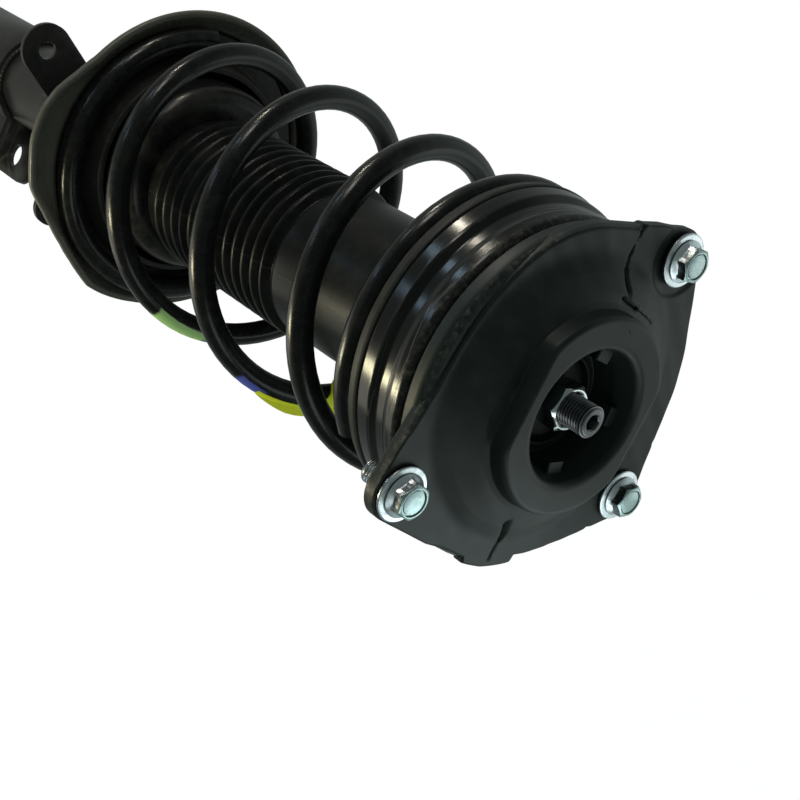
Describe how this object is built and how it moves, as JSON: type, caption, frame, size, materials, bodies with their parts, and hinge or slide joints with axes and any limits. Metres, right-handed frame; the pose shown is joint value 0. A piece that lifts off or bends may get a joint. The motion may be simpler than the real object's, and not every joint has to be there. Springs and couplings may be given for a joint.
{
  "type": "suspension strut assembly",
  "caption": "Front suspension strut with a lobed rubber top mount, coil spring between pressed seats, dust boot and damper with a clamp bracket.",
  "frame": {"origin": "where the damper rod's axis meets the plane of the three mounting pads on the top mount", "axes": "+Z along the damper rod, out of the top mount towards the rod's threaded end; -X towards the knuckle bracket's ears"},
  "size_m": [0.1647, 0.1794, 0.5819],
  "materials": {
    "rubber": "matte charcoal moulded rubber",
    "black_steel": "black stove enamel on pressed steel",
    "spring_paint": "gloss black powder coat",
    "boot_plastic": "semi-gloss black",
    "zinc": "bright zinc plate",
    "chrome": "ground and polished",
    "bare_steel": "machined",
    "aluminium": "machined",
    "bearing_plastic": "moulded",
    "urethane": "foamed"
  },
  "bodies": {
    "top_mount": {"mount_plate": "black_steel", "mount_rubber": "rubber", "inner_sleeve": "black_steel", "rod_washer": "zinc", "rod_nut": "zinc", "mount_bolt_1": "zinc", "mount_bolt_2": "zinc", "mount_bolt_3": "zinc", "mount_washer_1": "zinc", "mount_washer_2": "zinc", "mount_washer_3": "zinc", "weld_nut_1": "zinc", "weld_nut_2": "zinc", "weld_nut_3": "zinc", "bump_stop_cup": "black_steel", "bump_stop": "urethane", "piston_rod": "chrome", "rebound_stop": "urethane", "piston": "aluminium", "piston_ring": "bearing_plastic", "piston_nut": "zinc", "bearing_upper_race": "bearing_plastic"},
    "bearing_rollers": {"bearing_cage": "bearing_plastic", "bearing_ball_1": "bare_steel", "bearing_ball_2": "bare_steel", "bearing_ball_3": "bare_steel", "bearing_ball_4": "bare_steel", "bearing_ball_5": "bare_steel", "bearing_ball_6": "bare_steel", "bearing_ball_7": "bare_steel", "bearing_ball_8": "bare_steel", "bearing_ball_9": "bare_steel", "bearing_ball_10": "bare_steel"},
    "upper_seat": {"bearing_lower_race": "bearing_plastic", "upper_spring_seat": "black_steel", "upper_insulator": "rubber", "coil_spring": "spring_paint", "dust_boot": "boot_plastic"},
    "strut_tube": {"outer_tube": "black_steel", "tube_cap": "black_steel", "oil_seal": "rubber", "rod_guide": "aluminium", "inner_tube": "bare_steel", "base_valve": "bare_steel", "lower_spring_seat": "black_steel", "lower_insulator": "rubber", "knuckle_bracket": "black_steel", "link_bracket": "black_steel", "hose_bracket": "black_steel"}
  },
  "joints": [
    {"name": "steer_swivel", "type": "hinge", "parent": "top_mount", "child": "upper_seat", "pos_m": [0, 0, -0.0182], "axis": [0, 0, 1], "range_deg": [-45, 45]},
    {"name": "bearing_roll", "type": "hinge", "parent": "top_mount", "child": "bearing_rollers", "pos_m": [0, 0, -0.0182], "axis": [0, 0, 1], "range_deg": [-22.5, 22.5]},
    {"name": "strut_compression", "type": "slide", "parent": "upper_seat", "child": "strut_tube", "axis": [0, 0, 1], "range_m": [0, 0.075], "stiffness_N_per_m": 25000, "springref_m": -0.004, "deforming": ["coil_spring", "dust_boot"]}
  ],
  "couplings": [
    {"joint": "bearing_roll", "follows": "steer_swivel", "ratio": 0.5}
  ]
}
